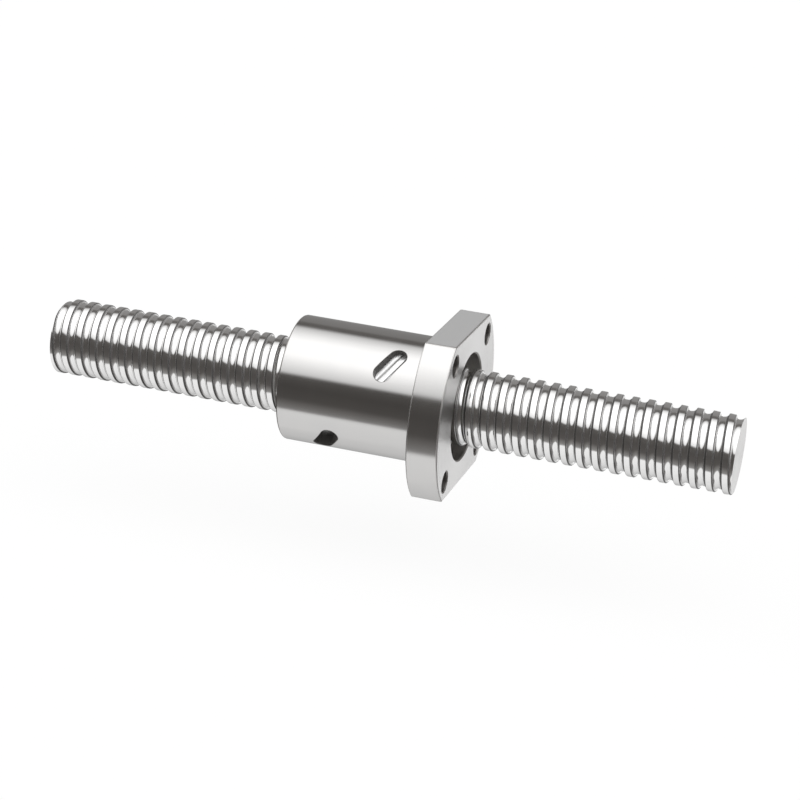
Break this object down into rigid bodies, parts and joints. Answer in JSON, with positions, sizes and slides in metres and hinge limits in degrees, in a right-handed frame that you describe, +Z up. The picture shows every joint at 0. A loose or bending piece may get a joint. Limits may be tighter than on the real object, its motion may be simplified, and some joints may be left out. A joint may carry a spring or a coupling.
{
  "type": "ball screw nut with its screw",
  "caption": "Flanged ball nut with milled flats, oblong ball return windows and dust seals, on a length of right-hand ball screw that travels through it as it turns.",
  "frame": {"origin": "on the screw's axis, in the plane of the flange's seat, which faces the round body", "axes": "+X along the screw from the body to the flange, +Z up, square to the flange's milled flats"},
  "size_m": [0.222, 0.064, 0.05],
  "materials": {
    "nut_steel": "ground bearing steel",
    "screw_steel": "rolled and polished steel",
    "deflector_steel": "bright sintered steel",
    "ball_steel": "polished balls",
    "seal_plastic": "moulded plastic"
  },
  "bodies": {
    "nut": {"nut_body": "nut_steel", "return_deflector_1": "deflector_steel", "return_deflector_2": "deflector_steel", "return_deflector_3": "deflector_steel", "return_deflector_4": "deflector_steel", "ball_circuit_1": "ball_steel", "ball_circuit_2": "ball_steel", "ball_circuit_3": "ball_steel", "ball_circuit_4": "ball_steel"},
    "seals": {"dust_seal_front": "seal_plastic", "dust_seal_rear": "seal_plastic"},
    "screw": {"screw_shaft": "screw_steel"}
  },
  "joints": [
    {"name": "screw_turn", "type": "hinge", "parent": "nut", "child": "seals", "pos_m": [0, 0, 0], "axis": [1, 0, 0], "range_deg": [-5400, 5040]},
    {"name": "screw_travel", "type": "slide", "parent": "seals", "child": "screw", "axis": [1, 0, 0], "range_m": [-0.0755, 0.0705]}
  ],
  "couplings": [
    {"joint": "screw_travel", "follows": "screw_turn", "m_per_rad": 0.00079577}
  ]
}
